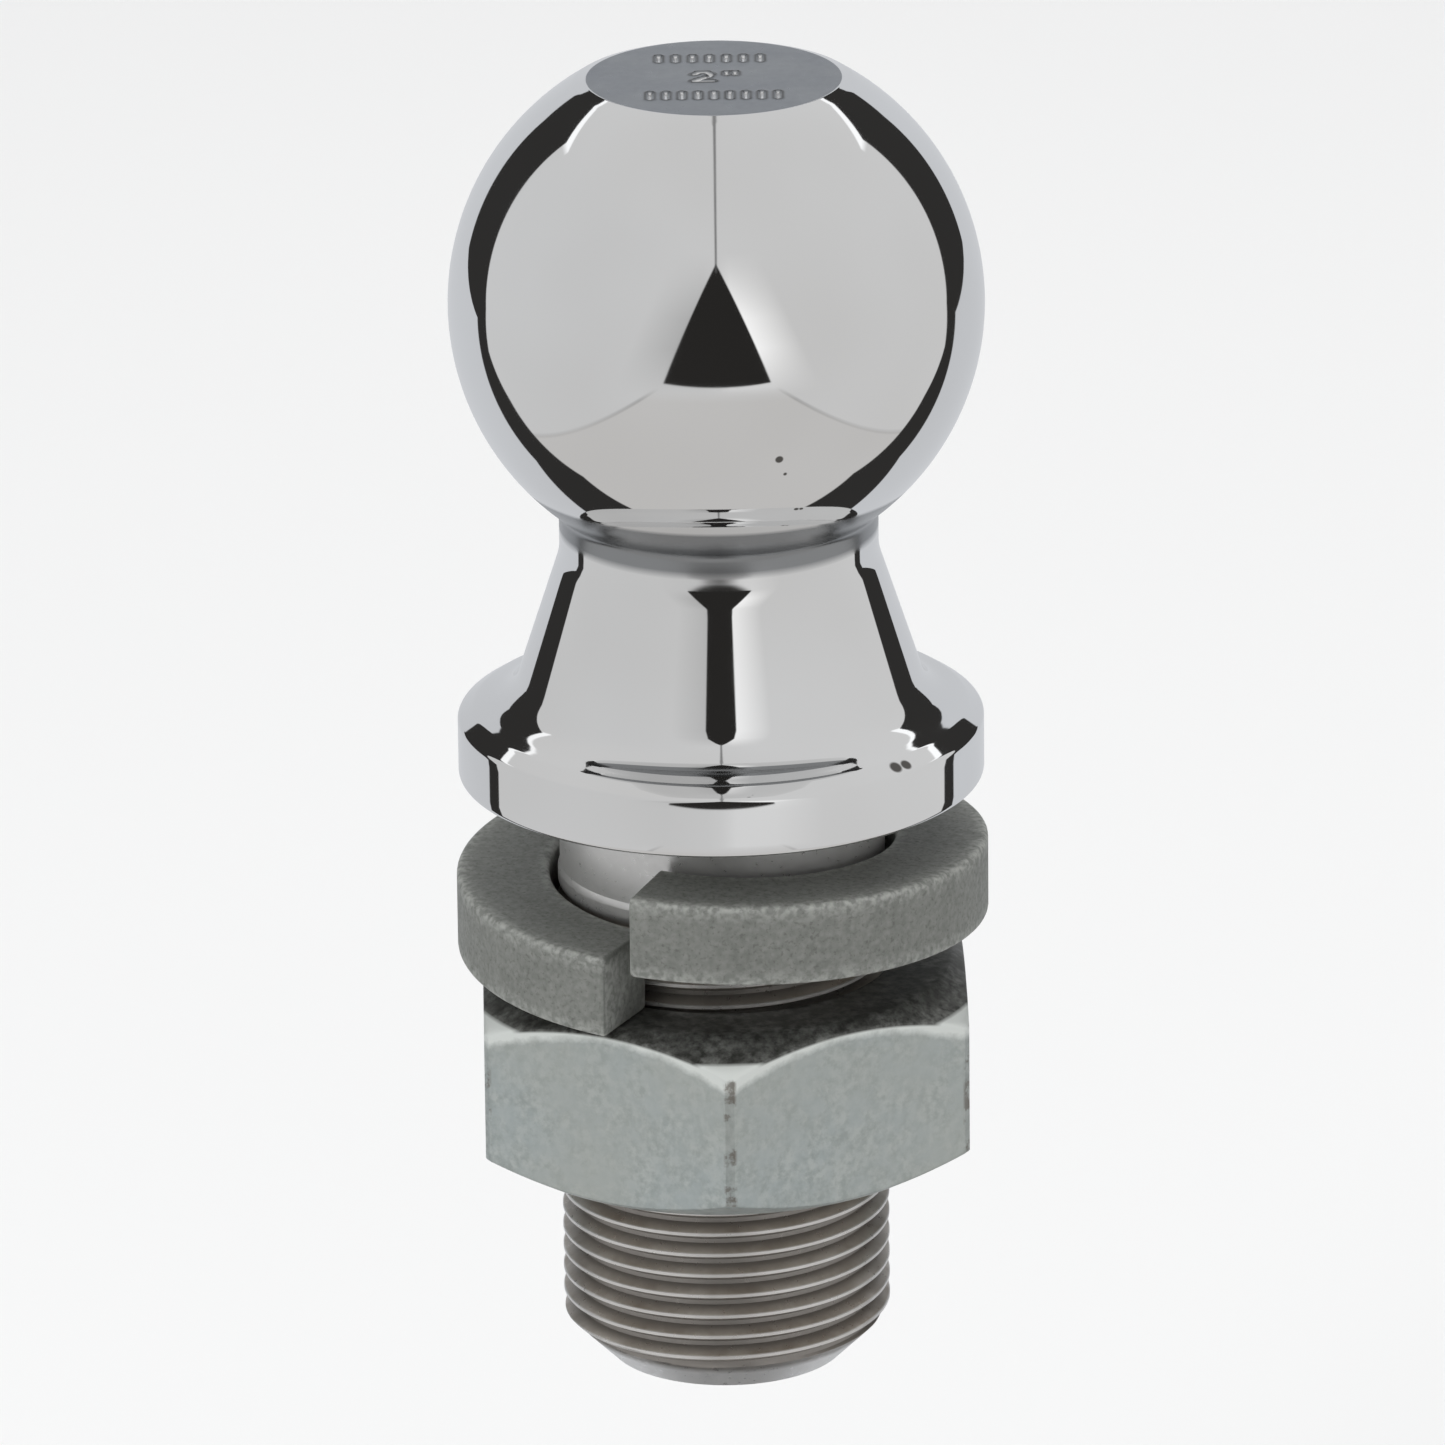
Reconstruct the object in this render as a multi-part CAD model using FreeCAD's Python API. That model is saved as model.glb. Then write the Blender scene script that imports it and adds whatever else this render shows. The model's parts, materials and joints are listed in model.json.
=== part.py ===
import FreeCAD, Part
import math
import os

# Hitch ball on a threaded shank, with its split lock washer and its hexagon nut.
# Millimetres. The origin is the centre of the collar's underside; +Z points to the ball.

V = FreeCAD.Vector
Z_AXIS = V(0, 0, 1)
ORIGIN = V(0, 0, 0)

# Ball, neck, cone and collar
BALL_R = 25.4
BALL_Z = 46.9
FLAT_Z = 68.98
FLAT_EDGE = 0.3
NECK_R = 15.2
NECK_BLEND = 1.2
CONE_TOP = (16.1, 19.6)
CONE_FOOT = (19.1, 10.4)
CONE_RUN = 0.9
CONE_BLEND = 5.0
NECK_FOOT_BLEND = 4.0
BROW = (23.6, 6.75)
BROW_BLEND = 1.6
BROW_RISE = 1.05
SHOULDER_BLEND = 1.0
COLLAR_R = 25.15
COLLAR_WALL_TOP = 4.7
COLLAR_UNDER_EDGE = 0.5

# Shank and its 1-1/4 inch, 12 per inch thread
SMOOTH_R = 15.6
SMOOTH_LENGTH = 9.0
CREST_R = 15.8
CREST_STEP = 0.6
ROOT_R = 14.6
SHANK_LENGTH = 59.15
END_R = 11.45
PITCH = 25.4 / 12
CREST_FLAT = 0.30
FLANK = math.tan(math.radians(30))
THREAD_TOP = -10.6
CUT_OVER = 0.2

# Nut
ACROSS_FLATS = 46.3
NUT_TOP = -18.95
NUT_THICK = 18.35
NUT_TURN_DEG = 1.0
NUT_FACE_R = 22.0
NUT_BEVEL_DEG = 30.0
NUT_SHOULDER_R = 25.3
NUT_CORNER_DEG = 41.0
NUT_SLEEVE_R = 18.5
NUT_MINOR_R = 14.8
NUT_MAJOR_R = 15.98
NUT_TIP = 0.315
NUT_MOUTH_R = 16.3

# Split washer
WASHER_OUT_R = 25.5
WASHER_IN_R = 16.6
WASHER_THICK = 7.9
WASHER_EDGE = 0.6
WASHER_TOP = -4.45
WASHER_LEAD = 6.6
WASHER_START_DEG = -110.5
WASHER_SWEEP_DEG = 354.0

# Stamped strokes on the ball's flat
STROKE_DEPTH = 0.25
STROKE_WIDTH = 0.45
STROKE_ROWS = ((6.2, 1.9, (-5.2, -3.6, -2.0, -0.4, 1.2, 2.8, 4.4)),
               (0.4, 2.0, (-1.2, 0.6)),
               (-5.6, 1.7, (-6.0, -4.5, -3.0, -1.5, 0.0, 1.5, 3.0, 4.5, 6.0)))


def point(r, z):
    return V(r, 0, z)


def corner_arc(a, corner, b, radius):
    """Arc of the given radius that rounds the corner between the lines to a and to b."""
    to_a = (a - corner).normalize()
    to_b = (b - corner).normalize()
    half = to_a.getAngle(to_b) / 2
    reach = radius / math.tan(half)
    middle = (to_a + to_b).normalize()
    centre = corner + middle * (radius / math.sin(half))
    start = corner + to_a * reach
    end = corner + to_b * reach
    return start, centre - middle * radius, end


def rounded_chain(stations):
    """Edges through (point, radius) stations, each corner rounded by its radius."""
    edges = []
    last = stations[0][0]
    for i in range(1, len(stations) - 1):
        corner, radius = stations[i]
        if radius <= 0:
            edges.append(Part.makeLine(last, corner))
            last = corner
            continue
        start, middle, end = corner_arc(stations[i - 1][0], corner, stations[i + 1][0], radius)
        edges.append(Part.makeLine(last, start))
        edges.append(Part.Arc(start, middle, end).toShape())
        last = end
    edges.append(Part.makeLine(last, stations[-1][0]))
    return edges


def revolve(edges):
    return Part.Face(Part.Wire(edges)).revolve(ORIGIN, Z_AXIS, 360)


def screw_sweep(section, pitch, height, radius, left_hand):
    """Solid swept by a closed section along a helix that starts at (radius, 0, 0)."""
    spine = Part.makeHelix(pitch, height, radius, 0, left_hand)
    return Part.Wire(spine.Edges).makePipeShell([section], True, True)


def thread_section(wall_r, tip_r, wall_width, tip_width):
    """Tapered groove section, carried CUT_OVER past the wall at the same taper."""
    out_r = wall_r + math.copysign(CUT_OVER, wall_r - tip_r)
    out_width = wall_width + 2 * FLANK * CUT_OVER
    corners = [V(out_r, 0, out_width / 2), V(tip_r, 0, tip_width / 2),
               V(tip_r, 0, -tip_width / 2), V(out_r, 0, -out_width / 2)]
    return Part.Wire(Part.makePolygon(corners + corners[:1]))


def stud_groove():
    """Helical cutter for the shank's thread, from below the shank's end up to its top."""
    crest_width = PITCH - CREST_FLAT
    root_width = crest_width - 2 * FLANK * (CREST_R - ROOT_R)
    section = thread_section(CREST_R, ROOT_R, crest_width, root_width)
    turns = math.ceil((SHANK_LENGTH + THREAD_TOP) / PITCH) + 1
    cutter = screw_sweep(section, PITCH, turns * PITCH, ROOT_R, False)
    cutter.translate(V(0, 0, THREAD_TOP - turns * PITCH))
    return cutter


def nut_groove():
    """Helical cutter for the nut's thread, half a pitch from the shank's groove."""
    ridge_base = NUT_TIP + 2 * FLANK * (NUT_MAJOR_R - NUT_MINOR_R)
    section = thread_section(NUT_MINOR_R, NUT_MAJOR_R, PITCH - NUT_TIP, PITCH - ridge_base)
    turns = math.ceil(NUT_THICK / PITCH) + 3
    lowest = math.ceil((THREAD_TOP - NUT_TOP + NUT_THICK) / PITCH) + 1.5
    cutter = screw_sweep(section, PITCH, turns * PITCH, NUT_MAJOR_R, False)
    cutter.translate(V(0, 0, THREAD_TOP - lowest * PITCH))
    return cutter


def threaded_end():
    """Threaded length of the shank, from the crest step down to the chamfered end."""
    top = -SMOOTH_LENGTH - CREST_STEP
    rod = Part.makeCylinder(CREST_R, SHANK_LENGTH + top, V(0, 0, -SHANK_LENGTH))
    threaded = rod.cut(stud_groove())
    chamfer = CREST_R - END_R
    outside = CREST_R + 2
    ring = [point(END_R - 2, -SHANK_LENGTH - 2), point(outside, -SHANK_LENGTH - 2),
            point(outside, -SHANK_LENGTH + chamfer + 2), point(END_R - 2, -SHANK_LENGTH - 2)]
    return threaded.cut(revolve([Part.makePolygon(ring)]))


def ball_stud():
    flat_r = math.sqrt(BALL_R ** 2 - (FLAT_Z - BALL_Z) ** 2)
    edge_z = FLAT_Z - FLAT_EDGE
    edge_r = math.sqrt(BALL_R ** 2 - (edge_z - BALL_Z) ** 2)
    blend_r = NECK_R + NECK_BLEND
    blend_z = BALL_Z - math.sqrt((BALL_R + NECK_BLEND) ** 2 - blend_r ** 2)
    blend_centre = point(blend_r, blend_z)
    to_ball = (point(0, BALL_Z) - blend_centre).normalize()
    touch = blend_centre + to_ball * NECK_BLEND
    blend_mid = blend_centre + (to_ball + V(-1, 0, 0)).normalize() * NECK_BLEND
    slope = (CONE_TOP[1] - CONE_FOOT[1]) / (CONE_FOOT[0] - CONE_TOP[0])
    thread_top = -SMOOTH_LENGTH - CREST_STEP
    edges = [
        Part.makeLine(point(0, thread_top), point(0, FLAT_Z)),
        Part.makeLine(point(0, FLAT_Z), point(flat_r - FLAT_EDGE, FLAT_Z)),
        Part.makeLine(point(flat_r - FLAT_EDGE, FLAT_Z), point(edge_r, edge_z)),
        Part.Arc(point(edge_r, edge_z), point(BALL_R, BALL_Z), touch).toShape(),
        Part.Arc(touch, blend_mid, point(NECK_R, blend_z)).toShape(),
    ]
    edges += rounded_chain([
        (point(NECK_R, blend_z), 0),
        (point(NECK_R, CONE_TOP[1] + slope * (CONE_TOP[0] - NECK_R)), NECK_FOOT_BLEND),
        (point(CONE_FOOT[0] + CONE_RUN, CONE_FOOT[1] - slope * CONE_RUN), CONE_BLEND),
        (point(*BROW), BROW_BLEND),
        (point(COLLAR_R, COLLAR_WALL_TOP + BROW_RISE), SHOULDER_BLEND),
        (point(COLLAR_R, 0), COLLAR_UNDER_EDGE),
        (point(SMOOTH_R, 0), 0),
        (point(SMOOTH_R, -SMOOTH_LENGTH), 0),
        (point(CREST_R, thread_top), 0),
        (point(0, thread_top), 0),
    ])
    body = revolve(edges).fuse(threaded_end())
    return body.cut(Part.makeCompound(stamped_strokes()))


def stamped_strokes():
    """Short straight strokes stamped into the flat on top of the ball."""
    strokes = []
    for row_y, length, starts in STROKE_ROWS:
        for x in starts:
            corner = V(x, row_y - length / 2, FLAT_Z - STROKE_DEPTH)
            strokes.append(Part.makeBox(STROKE_WIDTH, length, 2 * STROKE_DEPTH, corner))
    return strokes


def hex_prism(across_flats, height, bottom, corner_deg):
    reach = across_flats / 2 / math.cos(math.radians(30))
    corners = []
    for i in range(7):
        a = math.radians(corner_deg + 60 * i)
        corners.append(V(reach * math.cos(a), reach * math.sin(a), bottom))
    return Part.Face(Part.Wire(Part.makePolygon(corners))).extrude(V(0, 0, height))


def hex_nut():
    bottom = NUT_TOP - NUT_THICK
    blank = hex_prism(ACROSS_FLATS, NUT_THICK, bottom, -90 + NUT_TURN_DEG)
    reach = ACROSS_FLATS / 2 / math.cos(math.radians(30)) + 1
    top_run = NUT_SHOULDER_R - NUT_FACE_R
    top_drop = top_run * math.tan(math.radians(NUT_BEVEL_DEG))
    corner_drop = (reach - NUT_SHOULDER_R) * math.tan(math.radians(NUT_CORNER_DEG))
    foot_rise = (reach - NUT_FACE_R) * math.tan(math.radians(NUT_BEVEL_DEG))
    barrel = [point(0, bottom), point(NUT_FACE_R, bottom), point(reach, bottom + foot_rise),
              point(reach, NUT_TOP - top_drop - corner_drop), point(NUT_SHOULDER_R, NUT_TOP - top_drop),
              point(NUT_FACE_R, NUT_TOP), point(0, NUT_TOP), point(0, bottom)]
    bored = blank.common(revolve([Part.makePolygon(barrel)]))
    outer = bored.cut(Part.makeCylinder(NUT_SLEEVE_R, NUT_THICK + 2, V(0, 0, bottom - 1)))
    mouth_depth = NUT_MOUTH_R - NUT_MINOR_R
    low_mouth = Part.makeCone(NUT_MOUTH_R + 1, NUT_MINOR_R - 1, mouth_depth + 2, V(0, 0, bottom - 1))
    high_mouth = Part.makeCone(NUT_MINOR_R - 1, NUT_MOUTH_R + 1, mouth_depth + 2,
                               V(0, 0, NUT_TOP - mouth_depth - 1))
    return outer.fuse(threaded_sleeve(bottom)).cut(low_mouth).cut(high_mouth)


def threaded_sleeve(bottom):
    """Inner ring of the nut with its thread, cut long and trimmed to the nut's height."""
    spare = 4 * PITCH
    height = NUT_THICK + 2 * spare
    ring = Part.makeCylinder(NUT_SLEEVE_R, height, V(0, 0, bottom - spare))
    ring = ring.cut(Part.makeCylinder(NUT_MINOR_R, height + 2, V(0, 0, bottom - spare - 1)))
    slab = Part.makeCylinder(NUT_SLEEVE_R + 1, NUT_THICK, V(0, 0, bottom))
    return ring.cut(nut_groove()).common(slab)


def lock_washer():
    """Split spring washer: one left-hand turn, its upper end in front and left of the middle."""
    r = WASHER_EDGE
    low = V(WASHER_IN_R, 0, -WASHER_THICK)
    stations = [(V((WASHER_IN_R + WASHER_OUT_R) / 2, 0, 0), 0), (V(WASHER_OUT_R, 0, 0), r),
                (V(WASHER_OUT_R, 0, -WASHER_THICK), r), (low, r), (V(WASHER_IN_R, 0, 0), r),
                (V((WASHER_IN_R + WASHER_OUT_R) / 2, 0, 0), 0)]
    section = Part.Wire(rounded_chain(stations))
    height = WASHER_LEAD * WASHER_SWEEP_DEG / 360
    coil = screw_sweep(section, WASHER_LEAD, height, WASHER_OUT_R, True)
    coil.translate(V(0, 0, WASHER_TOP - height))
    coil.rotate(ORIGIN, Z_AXIS, WASHER_START_DEG + WASHER_SWEEP_DEG)
    return coil


def single_solid(shape):
    cleaned = shape.removeSplitter() if shape.ShapeType == "Compound" else shape
    return cleaned.Solids[0]


os.makedirs("parts", exist_ok=True)
PIECES = {"ball_stud": ball_stud, "lock_washer": lock_washer, "hex_nut": hex_nut}
for name, build in PIECES.items():
    single_solid(build()).exportStep("parts/" + name + ".step")
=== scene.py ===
import json
import math

import bmesh
import bpy
from mathutils import Matrix, Vector, geometry


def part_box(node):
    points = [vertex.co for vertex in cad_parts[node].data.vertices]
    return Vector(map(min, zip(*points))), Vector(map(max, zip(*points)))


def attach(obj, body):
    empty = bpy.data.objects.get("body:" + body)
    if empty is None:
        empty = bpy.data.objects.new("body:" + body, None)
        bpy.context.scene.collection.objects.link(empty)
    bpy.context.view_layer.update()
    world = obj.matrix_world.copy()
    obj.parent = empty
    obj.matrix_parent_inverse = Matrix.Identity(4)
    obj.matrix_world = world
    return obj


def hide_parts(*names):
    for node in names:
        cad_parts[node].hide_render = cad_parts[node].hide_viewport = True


# Hitch ball, split lock washer and hexagon nut. Lengths in this file are millimetres
# until they reach a mesh, a camera or a light, which take metres.
MM = 0.001
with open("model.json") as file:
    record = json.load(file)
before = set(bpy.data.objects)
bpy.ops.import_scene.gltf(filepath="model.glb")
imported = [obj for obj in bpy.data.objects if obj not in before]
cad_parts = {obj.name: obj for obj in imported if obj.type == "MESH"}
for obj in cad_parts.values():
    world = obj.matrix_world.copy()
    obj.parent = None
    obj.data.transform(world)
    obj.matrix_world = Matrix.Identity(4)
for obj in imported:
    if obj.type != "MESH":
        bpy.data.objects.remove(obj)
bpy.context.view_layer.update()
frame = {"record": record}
MOUNTS = {m["name"]: m for m in frame["record"]["mounts"]}

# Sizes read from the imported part
BALL_R = MOUNTS["ball"]["dims"]["r_mm"]
BALL_Z = MOUNTS["ball"]["pos_m"][2] / MM
SMOOTH_R = MOUNTS["shank"]["dims"]["r_mm"]
SMOOTH_END = -MOUNTS["shank"]["dims"]["length_mm"]
SHANK_END = MOUNTS["shank_end"]["pos_m"][2] / MM
NUT_LOW, NUT_HIGH = (corner.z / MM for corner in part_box("hex_nut"))
WASHER_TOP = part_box("lock_washer")[1].z / MM
JOINTS = {j["name"]: j for j in frame["record"]["behaviour"]["joints"]}
LOWEST_TRAVEL = JOINTS["washer_travel"]["range_m"][0]

# Thread
PITCH = 25.4 / 12
CREST_R = 15.8
THREAD_START_Z = SMOOTH_END - 0.6
ROOT_R = 14.6
END_R = 11.45
CREST_FLAT = 0.30
FLANK = math.tan(math.radians(30))
THREAD_PHASE_Z = -10.6
THREAD_FULL_Z = -12.8
NUT_MINOR_R = 14.8
NUT_MAJOR_R = 15.98
NUT_TIP = 0.315
NUT_MOUTH_R = 16.3

# Ball, neck, cone and collar
FLAT_Z = 68.98
FLAT_BREAK = 0.3
FLAT_RIM_R = 0.35
NECK_R = 15.2
NECK_BLEND = 1.2
COLLAR_R = 25.15
# Corners of the outline below the ball, (radius, z), each with its blend
HEAD_STATIONS = [
    ((NECK_R, 22.25), 5.5),
    ((20.0, 7.64), 4.2),
    ((23.6, 6.75), 1.6),
    ((COLLAR_R, 5.75), 0.6),
    ((COLLAR_R, 0.0), 0.5),
    ((SMOOTH_R, 0.0), 0.25),
    ((SMOOTH_R, SMOOTH_END), 0.1),
    ((CREST_R, THREAD_START_Z), 0),
]

# Nut outside
ACROSS_FLATS = 46.3
NUT_TURN = math.radians(-89)
NUT_FACE_R = 22.0
NUT_SHOULDER_R = 25.3
NUT_BEVEL = math.tan(math.radians(30))
NUT_CORNER_BEVEL = math.tan(math.radians(41))
NUT_CORNER_ROUND = 0.5
NUT_EDGE = 0.12
NUT_FACE_RINGS = [NUT_MOUTH_R, NUT_MOUTH_R + 0.3, 18.5, 20.5, NUT_FACE_R - 0.15, NUT_FACE_R + 0.15]

# Washer
WASHER_OUT_R = 25.5
WASHER_IN_R = 16.6
WASHER_THICK = 7.9
WASHER_EDGE = 0.6
WASHER_LEAD = 6.6
WASHER_START = math.radians(-110.5)
WASHER_SWEEP = math.radians(354)
WASHER_STEPS = 300
# Reach of the lighter long edges on the washer: partly rubbed wear, partly painted highlight
WEAR_AND_HIGHLIGHT_REACH = 1.0

# Band under the ball that the polishing wheel does not reach: rougher chrome there, and a darker chrome
# colour that is painted shade
NECK_LOW_Z = 24.6
NECK_HIGH_Z = 30.0

# Small chips in the chrome: centre and reach
CHROME_PITS = [
    ((5.7, -23.4, 38.95), 0.45),
    ((6.2, -22.5, 37.3), 0.28),
    ((16.4, -17.8, 6.2), 0.75),
    ((17.4, -17.0, 6.2), 0.65),
    ((-14.0, 12.0, 64.0), 0.3),
]

# Mesh fineness
COLUMNS = 192
BALL_RINGS = 84
BLEND_STEPS = 10
RING_SPACING = 0.8
SEAM = 1e-6


# ---------------------------------------------------------------- mesh helpers
def arc_points(centre, radius, start, end, steps):
    angles = [start + (end - start) * i / steps for i in range(steps + 1)]
    return [(centre[0] + radius * math.cos(a), centre[1] + radius * math.sin(a)) for a in angles]


def round_chain(stations, steps=8, spacing=1.0):
    """Points along a chain of (point, radius) stations, corners rounded, long runs divided."""
    points = [stations[0][0]]

    def run_to(target):
        last = Vector(points[-1])
        gap = Vector(target) - last
        pieces = max(1, math.ceil(gap.length / spacing))
        for i in range(1, pieces + 1):
            points.append(tuple(last + gap * i / pieces))

    for i in range(1, len(stations) - 1):
        corner, radius = Vector(stations[i][0]), stations[i][1]
        to_a = (Vector(stations[i - 1][0]) - corner).normalized()
        to_b = (Vector(stations[i + 1][0]) - corner).normalized()
        if radius <= 0:
            run_to(tuple(corner))
            continue
        half = to_a.angle(to_b) / 2
        reach = radius / math.tan(half)
        centre = corner + (to_a + to_b).normalized() * radius / math.sin(half)
        start, end = corner + to_a * reach, corner + to_b * reach
        run_to(tuple(start))
        a = math.atan2(*(start - centre).yx)
        b = math.atan2(*(end - centre).yx)
        turn = (b - a + math.pi) % (2 * math.pi) - math.pi
        points.extend(arc_points(centre, radius, a, a + turn, steps)[1:])
    run_to(stations[-1][0])
    return points


def add_object(name, vertices, faces, materials, face_slots=None, sharp_deg=35):
    mesh = bpy.data.meshes.new(name)
    mesh.from_pydata([Vector(v) * MM for v in vertices], [], faces)
    for material in materials:
        mesh.materials.append(material)
    if face_slots:
        mesh.polygons.foreach_set("material_index", face_slots)
    work = bmesh.new()
    work.from_mesh(mesh)
    bmesh.ops.remove_doubles(work, verts=work.verts, dist=SEAM)
    bmesh.ops.dissolve_degenerate(work, edges=work.edges, dist=SEAM)
    bmesh.ops.recalc_face_normals(work, faces=work.faces)
    work.to_mesh(mesh)
    work.free()
    mesh.polygons.foreach_set("use_smooth", [True] * len(mesh.polygons))
    mesh.set_sharp_from_angle(angle=math.radians(sharp_deg))
    piece = bpy.data.objects.new(name, mesh)
    bpy.context.scene.collection.objects.link(piece)
    return piece


def ring_strip(faces, first, second, count):
    """Quads between two closed rings of vertices that start at these indices."""
    for i in range(count):
        j = (i + 1) % count
        faces.append((first + i, first + j, second + j, second + i))


def angle_of(column):
    return 2 * math.pi * column / COLUMNS


def thread_rows(widths):
    """Offsets inside one pitch, from groove centre to groove centre, that catch every edge."""
    root, crest = widths[0] / 2, widths[1] / 2
    half = [0, root, root + (crest - root) / 3, root + (crest - root) * 2 / 3, crest]
    return [h / PITCH for h in half] + [0.5] + [1 - h / PITCH for h in half[:0:-1]]


def groove_depth(column, z, root_width, crest_width, phase_z):
    """0 on the crest to 1 in the groove's floor, for the thread at this angle and height."""
    turn = (z - phase_z) / PITCH - column / COLUMNS
    away = abs(turn - round(turn)) * PITCH
    if away <= root_width / 2:
        return 1.0
    if away >= crest_width / 2:
        return 0.0
    return (crest_width / 2 - away) / (crest_width / 2 - root_width / 2)


def thread_skin(vertices, faces, low, high, widths, radius_at, phase_z):
    """Screw surface between two heights. Returns its lower boundary ring."""
    offsets = thread_rows(widths)
    per = len(offsets)
    turns = range(math.floor((low - phase_z) / PITCH) - 2, math.ceil((high - phase_z) / PITCH) + 1)
    rows = [(n + o) for n in turns for o in offsets]
    base = len(vertices)
    for column in range(COLUMNS):
        for row in rows:
            z = min(high, max(low, phase_z + PITCH * (row + column / COLUMNS)))
            r = radius_at(column, z)
            a = angle_of(column)
            vertices.append((r * math.cos(a), r * math.sin(a), z))
    count = len(rows)
    for column in range(COLUMNS):
        nxt, shift = ((column + 1), 0) if column + 1 < COLUMNS else (0, per)
        for k in range(count - 1 - shift):
            a, b = base + column * count + k, base + nxt * count + k + shift
            faces.append((a, b, b + 1, a + 1))
    return [base + column * count for column in range(COLUMNS)]


# ---------------------------------------------------------------- node helpers
class Nodes:
    """Short calls for building a shader tree."""

    def __init__(self, tree):
        self.tree = tree
        tree.nodes.clear()

    def add(self, kind, **settings):
        node = self.tree.nodes.new(kind)
        for key, value in settings.items():
            setattr(node, key, value)
        return node

    def feed(self, socket, value):
        if isinstance(value, bpy.types.NodeSocket):
            self.tree.links.new(value, socket)
        else:
            socket.default_value = value

    def math(self, operation, a, b=0.0, clamp=False):
        node = self.add("ShaderNodeMath", operation=operation, use_clamp=clamp)
        self.feed(node.inputs[0], a)
        self.feed(node.inputs[1], b)
        return node.outputs[0]

    def plus(self, first, *rest):
        for term in rest:
            first = self.math("ADD", first, term)
        return first

    def minus(self, a, b):
        return self.math("SUBTRACT", a, b)

    def times(self, a, b):
        return self.math("MULTIPLY", a, b)

    def most(self, a, b):
        return self.math("MAXIMUM", a, b)

    def least(self, a, b):
        return self.math("MINIMUM", a, b)

    def edge(self, value, softness):
        """0 below zero, 1 above, with a soft step this wide."""
        return self.math("ADD", self.math("DIVIDE", value, softness), 0.5, clamp=True)

    def mix(self, amount, low, high):
        node = self.add("ShaderNodeMix", data_type="RGBA")
        self.feed(node.inputs["Factor"], amount)
        self.feed(node.inputs["A"], low)
        self.feed(node.inputs["B"], high)
        return node.outputs["Result"]

    def noise(self, vector, scale, detail=3.0, roughness=0.5):
        node = self.add("ShaderNodeTexNoise")
        self.feed(node.inputs["Vector"], vector)
        self.feed(node.inputs["Scale"], scale)
        self.feed(node.inputs["Detail"], detail)
        self.feed(node.inputs["Roughness"], roughness)
        return node.outputs["Fac"]

    def remap(self, value, low, high, to_low=0.0, to_high=1.0):
        node = self.add("ShaderNodeMapRange")
        for socket, number in zip(node.inputs[:5], (value, low, high, to_low, to_high)):
            self.feed(socket, number)
        return node.outputs["Result"]

    def bump(self, height, strength, distance_mm, normal=None):
        node = self.add("ShaderNodeBump")
        self.feed(node.inputs["Height"], height)
        self.feed(node.inputs["Strength"], strength)
        self.feed(node.inputs["Distance"], distance_mm * MM)
        if normal is not None:
            self.feed(node.inputs["Normal"], normal)
        return node.outputs["Normal"]


def grey(value, warm=0.0):
    return (value * (1 + warm), value, value * (1 - warm), 1.0)


def new_material(name):
    material = bpy.data.materials.new(name)
    material.use_nodes = True
    nodes = Nodes(material.node_tree)
    shader = nodes.add("ShaderNodeBsdfPrincipled")
    output = nodes.add("ShaderNodeOutputMaterial")
    nodes.feed(output.inputs["Surface"], shader.outputs["BSDF"])
    place = nodes.add("ShaderNodeTexCoord").outputs["Object"]
    axes = nodes.add("ShaderNodeSeparateXYZ")
    nodes.feed(axes.inputs[0], place)
    return material, nodes, shader, place, axes.outputs


def radius_mm(nodes, axes):
    """Distance from the shank's axis."""
    square = nodes.plus(nodes.times(axes[0], axes[0]), nodes.times(axes[1], axes[1]))
    return nodes.times(nodes.math("SQRT", square), 1 / MM)


def height_mm(nodes, axes):
    return nodes.times(axes[2], 1 / MM)


# ---------------------------------------------------------------- materials
def chrome_material():
    material, nodes, shader, place, axes = new_material("chrome")
    haze = nodes.noise(place, 90, 4, 0.6)
    cloud = nodes.noise(place, 35, 2)
    pit = 0.0
    for centre, reach in CHROME_PITS:
        gap = nodes.add("ShaderNodeVectorMath", operation="DISTANCE")
        nodes.feed(gap.inputs[0], place)
        nodes.feed(gap.inputs[1], Vector(centre) * MM)
        near = nodes.remap(gap.outputs["Value"], 0.7 * reach * MM, reach * MM, 1.0, 0.0)
        pit = nodes.most(near, pit)
    tone = nodes.mix(nodes.remap(cloud, 0.35, 0.65), grey(0.80, 0.004), grey(0.86, -0.003))
    high = height_mm(nodes, axes)
    above_cone = nodes.edge(nodes.minus(high, NECK_LOW_Z), 0.8)
    below_ball = nodes.edge(nodes.minus(NECK_HIGH_Z, high), 0.5)
    shaded_rough_band = nodes.times(above_cone, below_ball)
    # Painted shade under the ball: the band's chrome colour is darkened, and its roughness is raised as
    # well
    tone = nodes.mix(nodes.times(shaded_rough_band, 0.9), tone, grey(0.27, -0.03))
    nodes.feed(shader.inputs["Base Color"], nodes.mix(pit, tone, grey(0.12, 0.05)))
    nodes.feed(shader.inputs["Metallic"], 1.0)
    gloss = nodes.remap(haze, 0.3, 0.7, 0.015, 0.05)
    nodes.feed(shader.inputs["Roughness"], nodes.plus(gloss, nodes.times(shaded_rough_band, 0.22)))
    nodes.feed(shader.inputs["Normal"], nodes.bump(haze, 0.10, 0.012))
    return material


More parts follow.
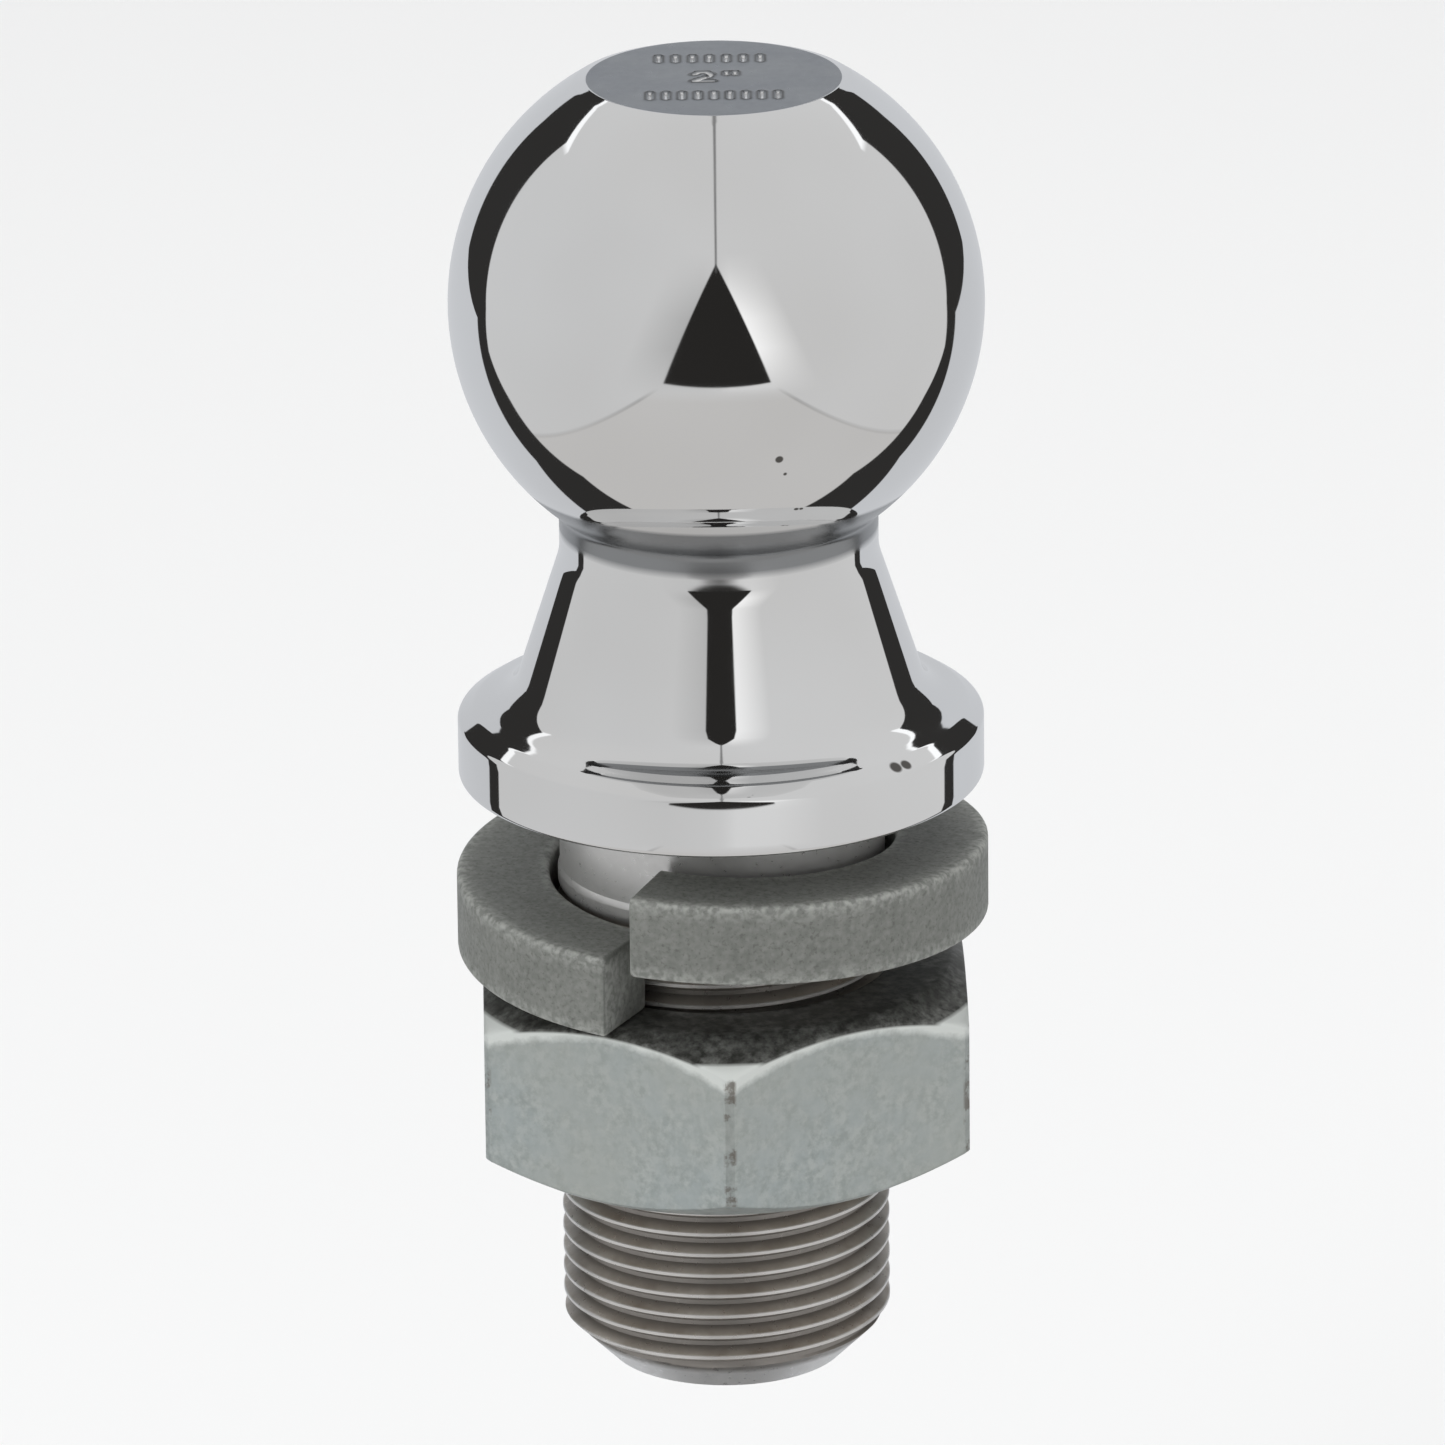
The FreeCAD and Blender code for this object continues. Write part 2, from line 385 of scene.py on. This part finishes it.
def stamped_material():
    material, nodes, shader, place, axes = new_material("stamped_flat")
    grain = nodes.noise(place, 900, 5, 0.7)
    cloud = nodes.noise(place, 160, 3)
    depth = nodes.times(nodes.minus(axes[2], FLAT_Z * MM), 1 / MM)
    # Painted light on the strokes: each sunk stroke is painted near white as a painted highlight, and the
    # raised lip round it is painted dark as a painted shadow
    raised = nodes.remap(depth, 0.0, 0.06)
    sunk = nodes.remap(depth, -0.02, -0.16)
    tone = nodes.mix(nodes.remap(cloud, 0.3, 0.7), (0.27, 0.285, 0.31, 1), (0.32, 0.335, 0.35, 1))
    tone = nodes.mix(sunk, tone, grey(0.92))
    nodes.feed(shader.inputs["Base Color"], nodes.mix(raised, tone, grey(0.10)))
    nodes.feed(shader.inputs["Metallic"], 1.0)
    nodes.feed(shader.inputs["Roughness"], nodes.remap(grain, 0.3, 0.7, 0.26, 0.36))
    nodes.feed(shader.inputs["Normal"], nodes.bump(grain, 0.07, 0.02))
    return material


def thread_steel_material():
    material, nodes, shader, place, axes = new_material("bare_steel")
    r = radius_mm(nodes, axes)
    high = height_mm(nodes, axes)
    stain = nodes.noise(place, 130, 4, 0.65)
    fine = nodes.noise(place, 1500, 3, 0.6)
    # Painted shade in the thread roots: they are painted darker than the crests, and the crest tips are
    # painted lighter
    crest = nodes.remap(r, ROOT_R + 0.15, CREST_R)
    body = nodes.mix(nodes.remap(stain, 0.38, 0.62), (0.62, 0.58, 0.53, 1), (0.36, 0.31, 0.26, 1))
    banded = nodes.mix(crest, (0.30, 0.28, 0.26, 1), body)
    tip = nodes.edge(nodes.minus(r, CREST_R - 0.10), 0.08)
    banded = nodes.mix(nodes.times(tip, 0.7), banded, grey(0.80, 0.01))
    plain_shank = nodes.edge(nodes.minus(high, THREAD_PHASE_Z - 0.5), 1.0)
    cut_end = nodes.edge(nodes.minus(SHANK_END + 2.4, high), 0.8)
    bright = nodes.most(plain_shank, cut_end)
    nodes.feed(shader.inputs["Base Color"], nodes.mix(bright, banded, grey(0.74, 0.01)))
    nodes.feed(shader.inputs["Metallic"], 0.8)
    nodes.feed(shader.inputs["Roughness"], nodes.remap(fine, 0.3, 0.7, 0.26, 0.42))
    nodes.feed(shader.inputs["Normal"], nodes.bump(fine, 0.25, 0.03))
    return material


def washer_material():
    material, nodes, shader, place, axes = new_material("grained_spring_steel")
    grain = nodes.noise(place, 2600, 3, 0.6)
    speck = nodes.noise(place, 1500, 2, 0.5)
    cloud = nodes.noise(place, 120, 3)
    dark = nodes.mix(nodes.remap(cloud, 0.3, 0.7), (0.182, 0.190, 0.174, 1), (0.232, 0.240, 0.222, 1))
    tone = nodes.mix(nodes.remap(speck, 0.35, 0.70, 0.0, 0.55), dark, (0.32, 0.325, 0.305, 1))
    tone = nodes.mix(nodes.remap(grain, 0.55, 0.70, 0.0, 0.5), tone, (0.10, 0.10, 0.09, 1))
    # Lighter long edges of the coil: partly rubbed wear, partly a painted highlight along the rounded
    # edges
    wear_and_highlight = nodes.add("ShaderNodeAttribute", attribute_name="wear_and_highlight").outputs["Fac"]
    rubbed_and_highlight = nodes.times(wear_and_highlight, nodes.remap(speck, 0.40, 0.62, 0.15, 0.8))
    nodes.feed(shader.inputs["Base Color"], nodes.mix(rubbed_and_highlight, tone, (0.56, 0.57, 0.54, 1)))
    nodes.feed(shader.inputs["Metallic"], 0.35)
    nodes.feed(shader.inputs["Roughness"], nodes.remap(grain, 0.3, 0.7, 0.50, 0.66))
    low = nodes.bump(speck, 0.5, 0.07)
    nodes.feed(shader.inputs["Normal"], nodes.bump(grain, 0.4, 0.03, low))
    return material


def zinc_material():
    material, nodes, shader, place, axes = new_material("zinc_plate")
    r = radius_mm(nodes, axes)
    high = height_mm(nodes, axes)
    grain = nodes.noise(place, 1100, 4, 0.65)
    blotch = nodes.noise(place, 420, 4, 0.65)
    cloud = nodes.noise(place, 60, 2)
    face = nodes.mix(nodes.remap(grain, 0.38, 0.62), (0.35, 0.385, 0.375, 1), (0.50, 0.535, 0.52, 1))
    face = nodes.mix(nodes.remap(blotch, 0.42, 0.62, 0.0, 0.7), face, (0.43, 0.475, 0.475, 1))
    face = nodes.mix(nodes.remap(cloud, 0.35, 0.65, 0.0, 0.5), face, (0.46, 0.475, 0.44, 1))

    # Rubbed bright below the top chamfer, with a ragged lower edge
    bevel_end = NUT_HIGH - (NUT_SHOULDER_R - NUT_FACE_R) * NUT_BEVEL
    along = nodes.plus(nodes.times(nodes.minus(r, NUT_SHOULDER_R), NUT_CORNER_BEVEL), high)
    ragged = nodes.times(nodes.minus(blotch, 0.5), 1.6)
    banded = nodes.edge(nodes.plus(nodes.minus(along, bevel_end - 1.2), ragged), 0.8)
    tone = nodes.mix(nodes.times(banded, 0.9), face, (0.82, 0.85, 0.82, 1))

    # Painted shadow of the washer: the top face and its chamfer are painted very dark
    cone = nodes.plus(nodes.times(nodes.minus(r, NUT_FACE_R), NUT_BEVEL), high)
    surface = nodes.most(cone, nodes.plus(high, 0.15))
    on_top = nodes.edge(nodes.minus(surface, NUT_HIGH - 0.22), 0.25)
    inside_shoulder = nodes.edge(nodes.minus(NUT_SHOULDER_R - 0.15, r), 0.35)
    washer_shadow = nodes.times(on_top, inside_shoulder)
    washer_shadow_tone = nodes.mix(nodes.remap(grain, 0.35, 0.65), (0.06, 0.06, 0.055, 1), (0.24, 0.245, 0.23, 1))
    washer_shadow_tone = nodes.mix(nodes.remap(blotch, 0.40, 0.62, 0.0, 0.6), washer_shadow_tone, (0.045, 0.045, 0.04, 1))
    tone = nodes.mix(washer_shadow, tone, washer_shadow_tone)

    # Specks of rust where the plate has chipped off the corners
    at_corner = nodes.edge(nodes.minus(r, 26.42), 0.15)
    speck = nodes.edge(nodes.minus(blotch, 0.56), 0.08)
    rust = nodes.times(nodes.times(at_corner, speck), 0.8)
    nodes.feed(shader.inputs["Base Color"], nodes.mix(rust, tone, (0.17, 0.145, 0.12, 1)))
    nodes.feed(shader.inputs["Metallic"], 0.6)
    nodes.feed(shader.inputs["Roughness"], nodes.remap(grain, 0.3, 0.7, 0.34, 0.50))
    low = nodes.bump(blotch, 0.30, 0.06)
    nodes.feed(shader.inputs["Normal"], nodes.bump(grain, 0.4, 0.04, low))
    return material


def floor_material():
    material, nodes, shader, place, axes = new_material("pale_floor")
    cloud = nodes.noise(place, 3, 2)
    nodes.feed(shader.inputs["Base Color"], nodes.mix(cloud, grey(0.87), grey(0.89)))
    nodes.feed(shader.inputs["Roughness"], 0.9)
    nodes.feed(shader.inputs["Specular IOR Level"], 0.1)
    return material


# ---------------------------------------------------------------- ball stud
# Stamped strokes: x of each one, and the low and high end of the row
STROKE_ROWS = (
    ((-5.2, -3.6, -2.0, -0.4, 1.2, 2.8, 4.4), 5.3, 7.1),
    ((1.2, 2.0), 1.0, 1.8),
    ((-6.0, -4.5, -3.0, -1.5, 0.0, 1.5, 3.0, 4.5, 6.0), -6.6, -4.6),
)
NUMERAL_TWO = [
    (-1.9, 1.1), (-1.4, 1.75), (-0.7, 1.8), (-0.25, 1.2), (-0.5, 0.4), (-1.9, -1.0), (-0.1, -1.0),
]
STROKE_HALF = 0.27
STROKE_DEPTH = 0.22
STROKE_WALL = 0.15
LIP_HEIGHT = 0.08
LIP_WIDTH = 0.36
CAP_R = 11.9
CAP_STEP = 0.19


def stamped_lines():
    """Straight strokes of the stamped rows, and a plain numeral two in the middle."""
    lines = list(zip(NUMERAL_TWO[:-1], NUMERAL_TWO[1:]))
    for places, low, high in STROKE_ROWS:
        lines.extend(((x, low), (x, high)) for x in places)
    return lines


def stamp_height(x, y, lines):
    """Height of the flat here: sunk in a stroke, raised a little round it."""
    nearest = CAP_R
    for (ax, ay), (bx, by) in lines:
        dx, dy = bx - ax, by - ay
        t = max(0.0, min(1.0, ((x - ax) * dx + (y - ay) * dy) / (dx * dx + dy * dy)))
        nearest = min(nearest, math.hypot(x - ax - t * dx, y - ay - t * dy))
    if nearest < STROKE_HALF:
        return -STROKE_DEPTH * min(1.0, (STROKE_HALF - nearest) / STROKE_WALL)
    return LIP_HEIGHT * max(0.0, 1 - abs(nearest - STROKE_HALF - LIP_WIDTH / 2) / (LIP_WIDTH / 2))


def stamped_cap(vertices, faces, rim):
    """Fills the ball's flat inside its rim with a fine grid that carries the stamped strokes."""
    lines = stamped_lines()
    flat = [Vector(vertices[i][:2]) for i in rim]
    count = len(flat)
    points = list(flat)
    steps = int(CAP_R / CAP_STEP)
    for i in range(-steps, steps + 1):
        for j in range(-steps, steps + 1):
            x, y = (i + 0.5 * (j % 2)) * CAP_STEP, j * CAP_STEP * 0.94
            if math.hypot(x, y) < CAP_R:
                points.append(Vector((x, y)))
    loop = [list(range(count))]
    made = geometry.delaunay_2d_cdt(points, [], loop, 1, 1e-6)
    index = {}
    for k, (place, origin) in enumerate(zip(made[0], made[3])):
        if origin and origin[0] < count:
            index[k] = rim[origin[0]]
            continue
        index[k] = len(vertices)
        vertices.append((place.x, place.y, FLAT_Z + stamp_height(place.x, place.y, lines)))
    faces.extend(tuple(index[k] for k in face) for face in made[2])


def head_profile():
    flat_r = math.sqrt(BALL_R ** 2 - (FLAT_Z - BALL_Z) ** 2)
    low_z = FLAT_Z - FLAT_BREAK
    start = math.asin((low_z - BALL_Z) / BALL_R)
    blend_r = NECK_R + NECK_BLEND
    blend = (blend_r, BALL_Z - math.sqrt((BALL_R + NECK_BLEND) ** 2 - blend_r ** 2))
    toward = math.atan2(BALL_Z - blend[1], -blend[0])
    rim = (flat_r - FLAT_BREAK - 0.2, FLAT_Z - FLAT_RIM_R)
    points = arc_points(rim, FLAT_RIM_R, math.pi / 2, math.radians(50), 3)
    points += arc_points((0, BALL_Z), BALL_R, start, toward - math.pi, BALL_RINGS)
    points += arc_points(blend, NECK_BLEND, toward, math.pi, 8)[1:]
    chain = round_chain([((NECK_R, blend[1]), 0)] + HEAD_STATIONS, BLEND_STEPS, RING_SPACING)
    return points + chain[1:]


def make_ball_stud():
    vertices, faces = [], []
    profile = head_profile()
    rings = []
    for r, z in profile:
        rings.append(len(vertices))
        vertices.extend((r * math.cos(angle_of(c)), r * math.sin(angle_of(c)), z) for c in range(COLUMNS))
    for upper, lower in zip(rings[:-1], rings[1:]):
        ring_strip(faces, upper, lower, COLUMNS)
    chrome_end = len(faces)
    steel_start = next(i for i, (r, z) in enumerate(profile) if z <= 0.0 and r < COLLAR_R - 2)
    slots = [0 if i // COLUMNS < steel_start - 1 else 1 for i in range(chrome_end)]
    stamped_cap(vertices, faces, list(range(COLUMNS)))
    slots += [2] * (len(faces) - chrome_end)
    crest_width = PITCH - CREST_FLAT
    widths = (crest_width - 2 * FLANK * (CREST_R - ROOT_R), crest_width)

    def radius_at(column, z):
        fade = max(0.0, min(1.0, (THREAD_PHASE_Z - z) / (THREAD_PHASE_Z - THREAD_FULL_Z)))
        depth = groove_depth(column, z, *widths, THREAD_PHASE_Z) * (CREST_R - ROOT_R) * fade
        return min(CREST_R - depth, END_R + z - SHANK_END)

    low_ring = thread_skin(vertices, faces, SHANK_END, THREAD_START_Z, widths, radius_at, THREAD_PHASE_Z)
    faces.append(tuple(low_ring))
    slots += [1] * (len(faces) - len(slots))
    return add_object("ball_stud_finish", vertices, faces,
                      [chrome_material(), thread_steel_material(), stamped_material()], slots, 32)


# ---------------------------------------------------------------- nut
def hexagon_radius(angle):
    """Distance to the rounded hexagon's outline at this angle from the axis."""
    within = (angle - NUT_TURN + math.pi / 6) % (math.pi / 3) - math.pi / 6
    half = ACROSS_FLATS / 2
    corner = half / math.cos(math.pi / 6)
    straight = half / math.cos(math.pi / 6 - abs(within))
    inner = corner - NUT_CORNER_ROUND / math.cos(math.pi / 6)
    aside = inner * math.sin(within)
    reach = inner * math.cos(within) + math.sqrt(max(0.0, NUT_CORNER_ROUND ** 2 - aside ** 2))
    end_x = inner + NUT_CORNER_ROUND * math.cos(math.pi / 6)
    touch = math.atan2(NUT_CORNER_ROUND * math.sin(math.pi / 6), end_x)
    return reach if abs(within) < touch else straight


def make_hex_nut():
    vertices, faces = [], []
    softness = NUT_EDGE
    shoulder_z = NUT_HIGH - (NUT_SHOULDER_R - NUT_FACE_R) * NUT_BEVEL

    def top_z(r):
        if r <= NUT_SHOULDER_R:
            return NUT_HIGH - max(0.0, r - NUT_FACE_R) * NUT_BEVEL
        return shoulder_z - (r - NUT_SHOULDER_R) * NUT_CORNER_BEVEL

    def low_z(r):
        return NUT_LOW + max(0.0, r - NUT_FACE_R) * NUT_BEVEL

    chains = []
    for column in range(COLUMNS):
        a = angle_of(column)
        outer = hexagon_radius(a)
        bend = min(NUT_SHOULDER_R, outer)
        rim = outer - softness
        radii = NUT_FACE_RINGS + [NUT_FACE_R + (bend - NUT_FACE_R) * t for t in (0.35, 0.7, 0.94)]
        if rim > bend:
            radii += [bend + (rim - bend) * t for t in (0.5, 1.0)]
        else:
            radii += [bend - 0.1, bend - softness]
        radii = sorted(min(r, rim) for r in radii)
        chain = [(r, top_z(r)) for r in radii]
        upper, lower = top_z(outer) - softness, low_z(outer) + softness
        chain += [(outer - softness * 0.3, top_z(outer) - softness * 0.3)]
        chain += [(outer, upper + (lower - upper) * t) for t in (0, 0.02, 0.25, 0.5, 0.75, 0.98, 1)]
        chain += [(outer - softness * 0.3, low_z(outer) + softness * 0.3)]
        under = NUT_FACE_RINGS + [NUT_FACE_R + (rim - NUT_FACE_R) * t for t in (0.4, 0.8, 1.0)]
        under = sorted((min(r, rim) for r in under), reverse=True)
        chain += [(r, low_z(r)) for r in under]
        chains.append((a, chain))
    rows = len(chains[0][1])
    for row in range(rows):
        for a, chain in chains:
            r, z = chain[row]
            vertices.append((r * math.cos(a), r * math.sin(a), z))
    for row in range(rows - 1):
        ring_strip(faces, row * COLUMNS, (row + 1) * COLUMNS, COLUMNS)
    ridge_base = NUT_TIP + 2 * FLANK * (NUT_MAJOR_R - NUT_MINOR_R)
    widths = (PITCH - ridge_base, PITCH - NUT_TIP)
    phase = THREAD_PHASE_Z + PITCH / 2

    def radius_at(column, z):
        depth = groove_depth(column, z, *widths, phase) * (NUT_MAJOR_R - NUT_MINOR_R)
        mouth = NUT_MOUTH_R - min(NUT_HIGH - z, z - NUT_LOW)
        return max(NUT_MINOR_R + depth, mouth)

    thread_skin(vertices, faces, NUT_LOW, NUT_HIGH, widths, radius_at, phase)
    return add_object("hex_nut_finish", vertices, faces, [zinc_material()], None, 24)


# ---------------------------------------------------------------- washer
def washer_wear_and_highlight(place):
    """1 on the rounded long edges of the coil, fading to 0 at the washer's edge reach away from them: a
    mark that is partly rubbed wear and partly painted highlight.
    """
    r = math.hypot(place.x, place.y)
    turn = (math.atan2(place.y, place.x) - WASHER_START) % (2 * math.pi)
    high = place.z - WASHER_TOP + WASHER_LEAD * turn / (2 * math.pi)
    from_side = min(WASHER_OUT_R - r, r - WASHER_IN_R)
    from_face = min(abs(high), abs(high + WASHER_THICK))
    return max(0.0, 1 - max(from_side, from_face) / WEAR_AND_HIGHLIGHT_REACH)


def make_lock_washer():
    vertices, faces = [], []
    middle = (WASHER_IN_R + WASHER_OUT_R) / 2
    out_r, in_r, low = WASHER_OUT_R, WASHER_IN_R, -WASHER_THICK
    corners = [(out_r, 0), (out_r, low), (in_r, low), (in_r, 0)]
    stations = [((middle, 0), 0)] + [(c, WASHER_EDGE) for c in corners] + [((middle, 0), 0)]
    section = round_chain(stations, 5, 1.2)[:-1]
    # Extra sections near both ends round off the cut faces
    turns = [i / WASHER_STEPS for i in range(1, WASHER_STEPS)]
    turns = [0, 0.0006, 0.0018] + turns + [0.9982, 0.9994, 1]
    shrink = {0: 0.30, 1: 0.09, len(turns) - 1: 0.30, len(turns) - 2: 0.09}
    for k, t in enumerate(turns):
        a = WASHER_START + WASHER_SWEEP * t
        drop = WASHER_LEAD * WASHER_SWEEP * t / (2 * math.pi)
        inset = shrink.get(k, 0.0)
        for r, z in section:
            pull_r = 1 - 2 * inset / (WASHER_OUT_R - WASHER_IN_R)
            pull_z = 1 - 2 * inset / WASHER_THICK
            rr = middle + (r - middle) * pull_r
            zz = -WASHER_THICK / 2 + (z + WASHER_THICK / 2) * pull_z
            vertices.append((rr * math.cos(a), rr * math.sin(a), WASHER_TOP + zz - drop))
    n = len(section)
    for k in range(len(turns) - 1):
        ring_strip(faces, k * n, (k + 1) * n, n)
    faces.append(tuple(range(n)))
    faces.append(tuple((len(turns) - 1) * n + i for i in range(n)))
    washer = add_object("lock_washer_finish", vertices, faces, [washer_material()], None, 40)
    # Per-vertex mark for the lighter edges: rubbed wear and painted highlight
    wear_and_highlight = washer.data.attributes.new("wear_and_highlight", "FLOAT", "POINT")
    wear_and_highlight.data.foreach_set("value", [washer_wear_and_highlight(v.co / MM) for v in washer.data.vertices])
    return washer


# ---------------------------------------------------------------- surroundings
FLOOR_HALF = 6.0


def paint_world():
    """White tent around the object, as a function of direction: two side sheets that meet in
    a seam in front and overhead, a gap below the seam, a table sheet, and a backdrop behind.
    Each line below is a plane through the object, so its numbers are slopes."""
    world = bpy.data.worlds.new("tent")
    bpy.context.scene.world = world
    world.use_nodes = True
    nodes = Nodes(world.node_tree)
    plus, minus, times = nodes.plus, nodes.minus, nodes.times
    most, least, edge, remap = nodes.most, nodes.least, nodes.edge, nodes.remap
    axes = nodes.add("ShaderNodeSeparateXYZ")
    nodes.feed(axes.inputs[0], nodes.add("ShaderNodeTexCoord").outputs["Generated"])
    x, y, z = axes.outputs
    ax = nodes.math("ABSOLUTE", x)
    front = edge(times(y, -1), 0.02)

    # Side sheets, lit to the right of the gap and dull to its left
    gap_width = times(plus(times(y, -0.669), times(z, -1)), 0.415)
    beside = remap(minus(ax, most(gap_width, 0.0)), 0.0, 0.34, 1.0, 0.0)
    level = times(remap(z, -0.40, -0.05), remap(z, 0.18, 0.62, 1.0, 0.0))
    beside = times(times(beside, level), front)
    glow = times(beside, remap(x, 0.0, 0.10))
    dusk = times(beside, remap(times(x, -1), 0.0, 0.10, 0.0, 0.45))
    sheet = nodes.mix(remap(x, -0.9, 0.9), grey(0.66, -0.005), grey(0.68, 0.0))
    shade = remap(minus(ax, times(y, 0.25)), 0.35, 0.95, 1.0, 0.88)
    sheet = nodes.mix(shade, grey(0.50), sheet)
    sheet = nodes.mix(glow, sheet, grey(1.10))
    sheet = nodes.mix(dusk, sheet, grey(0.30))
    sheet = nodes.mix(edge(minus(z, 0.80), 0.3), sheet, grey(0.66))

    # Table, with a faint fold where it meets the side sheets
    table_level = minus(times(ax, -0.85), z)
    front_edge = minus(times(y, 0.350), z)
    lower = remap(times(z, -1), 0.345, 0.44)
    table = times(edge(table_level, 0.01), times(lower, edge(front_edge, 0.01)))
    colour = nodes.mix(table, sheet, grey(0.60, 0.012))
    fold = edge(minus(0.014, nodes.math("ABSOLUTE", table_level)), 0.012)
    fold = times(times(fold, lower), remap(ax, 0.35, 0.75, 1.0, 0.3))
    colour = nodes.mix(times(fold, 0.45), colour, grey(0.08))

    # Dark gap in front, and the seam above it
    triangle = times(edge(minus(gap_width, ax), 0.012), edge(times(front_edge, -1), 0.012))
    colour = nodes.mix(times(triangle, front), colour, grey(0.022, 0.05))
    seam = times(edge(minus(0.008, ax), 0.008), edge(minus(z, 0.5), 0.02))
    colour = nodes.mix(times(seam, 0.75), colour, grey(0.10))

    # Dark opening between the sheets and the backdrop, with a bright hem high up
    inner = least(times(ax, 0.48), plus(times(ax, 0.674), times(z, 0.517)))
    overhead = most(times(z, 0.28), minus(times(z, 1.67), times(ax, 1.23)))
    inner = most(most(inner, plus(times(ax, 0.53), overhead)), times(z, -0.10))
    near_inner = edge(minus(plus(y, times(ax, 0.17)), inner), 0.02)
    hem = times(near_inner, edge(minus(z, times(ax, 0.86)), 0.04))
    colour = nodes.mix(hem, colour, grey(1.15, -0.01))
    colour = nodes.mix(edge(minus(y, inner), 0.012), colour, grey(0.03, 0.03))
    step = remap(plus(z, times(ax, 0.36)), 0.0, 0.13)
    raised = times(step, plus(times(ax, 1.34), times(z, 0.72)))
    raised = most(raised, plus(times(ax, 0.90), times(z, 1.5)))
    outer = most(most(times(ax, 0.65), times(z, -0.58)), raised)
    backdrop = times(edge(minus(y, outer), 0.012), edge(y, 0.02))
    colour = nodes.mix(backdrop, colour, (0.62, 0.635, 0.66, 1))

    shader = nodes.add("ShaderNodeBackground")
    nodes.feed(shader.inputs["Color"], colour)
    nodes.feed(shader.inputs["Strength"], 1.0)
    output = nodes.add("ShaderNodeOutputWorld")
    nodes.feed(output.inputs["Surface"], shader.outputs["Background"])


def add_floor():
    """Pale sheet at the lowest place that the nut reaches when it comes off the shank."""
    z = NUT_LOW * MM + LOWEST_TRAVEL
    corners = [(x * FLOOR_HALF, y * FLOOR_HALF, z) for x, y in ((-1, -1), (1, -1), (1, 1), (-1, 1))]
    mesh = bpy.data.meshes.new("floor")
    mesh.from_pydata(corners, [], [(0, 1, 2, 3)])
    mesh.materials.append(floor_material())
    floor = bpy.data.objects.new("floor", mesh)
    bpy.context.scene.collection.objects.link(floor)
    floor.visible_glossy = False


def add_area_light(name, place, target, size, power, colour):
    light = bpy.data.lights.new(name, "AREA")
    light.shape = "DISK"
    light.size = size
    light.energy = power
    light.color = colour
    lamp = bpy.data.objects.new(name, light)
    bpy.context.scene.collection.objects.link(lamp)
    lamp.location = place
    lamp.rotation_euler = (Vector(target) - Vector(place)).to_track_quat("-Z", "Y").to_euler()
    lamp.visible_glossy = False
    return lamp


# Camera: a long lens, 1.3 m from a point close to the shank's axis
CAMERA_DISTANCE = 1.3
CAMERA_PITCH = math.radians(19.7)
CAMERA_ROLL = math.radians(-0.63)
CAMERA_LENS = 338.8
AIM = Vector((0.15, 0, 4.6)) * MM


def add_camera():
    data = bpy.data.cameras.new("camera")
    data.lens = CAMERA_LENS
    data.sensor_width = 36
    data.clip_start = 0.05
    data.clip_end = 50
    camera = bpy.data.objects.new("camera", data)
    bpy.context.scene.collection.objects.link(camera)
    back = Vector((0, -math.cos(CAMERA_PITCH), math.sin(CAMERA_PITCH)))
    aim = back.to_track_quat("Z", "Y").to_matrix().to_4x4()
    place = Matrix.Translation(AIM + back * CAMERA_DISTANCE)
    camera.matrix_world = place @ aim @ Matrix.Rotation(CAMERA_ROLL, 4, "Z")
    bpy.context.scene.camera = camera


# ---------------------------------------------------------------- assembly
for make, body, node, slot in (
    (make_ball_stud, "stud", "ball_stud", "stud"),
    (make_lock_washer, "washer", "lock_washer", "washer"),
    (make_hex_nut, "nut", "hex_nut", "nut"),
):
    piece = make()
    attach(piece, body)
    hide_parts(node)

paint_world()
add_floor()
add_area_light("overhead_softbox", (0.2, 0.1, 1.6), (0, 0, 0), 1.6, 14, (1.0, 1.0, 1.0))
add_area_light("left_softbox", (-1.0, -1.0, 0.7), (0, 0, 0), 1.0, 6, (0.98, 1.0, 1.0))
add_camera()
view = bpy.context.scene.view_settings
view.view_transform = "Standard"
view.look = "None"
